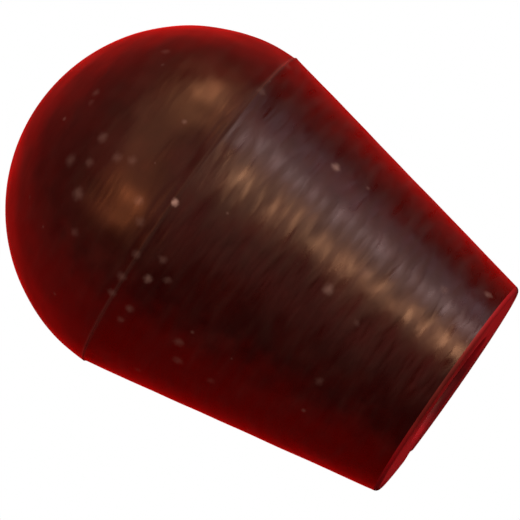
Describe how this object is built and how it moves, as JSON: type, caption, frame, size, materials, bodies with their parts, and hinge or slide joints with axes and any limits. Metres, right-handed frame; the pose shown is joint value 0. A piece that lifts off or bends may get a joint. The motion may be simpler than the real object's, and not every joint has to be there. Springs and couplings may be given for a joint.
{
  "type": "rubber vacuum cap",
  "caption": "Domed rubber cap with a tapered wall and a blind round bore, pushed onto a vacuum port, nipple or tube end to seal it.",
  "frame": {"origin": "centre of the flat mouth face, on the surface that the cap stands on", "axes": "+Z along the axis of symmetry, from the mouth up to the dome"},
  "size_m": [0.018, 0.018, 0.0244],
  "materials": {
    "rubber": "dark maroon moulded rubber, satin, with fine turned mould rings and a redder edge"
  },
  "bodies": {
    "root": {"vacuum_cap": "rubber"}
  },
  "joints": []
}
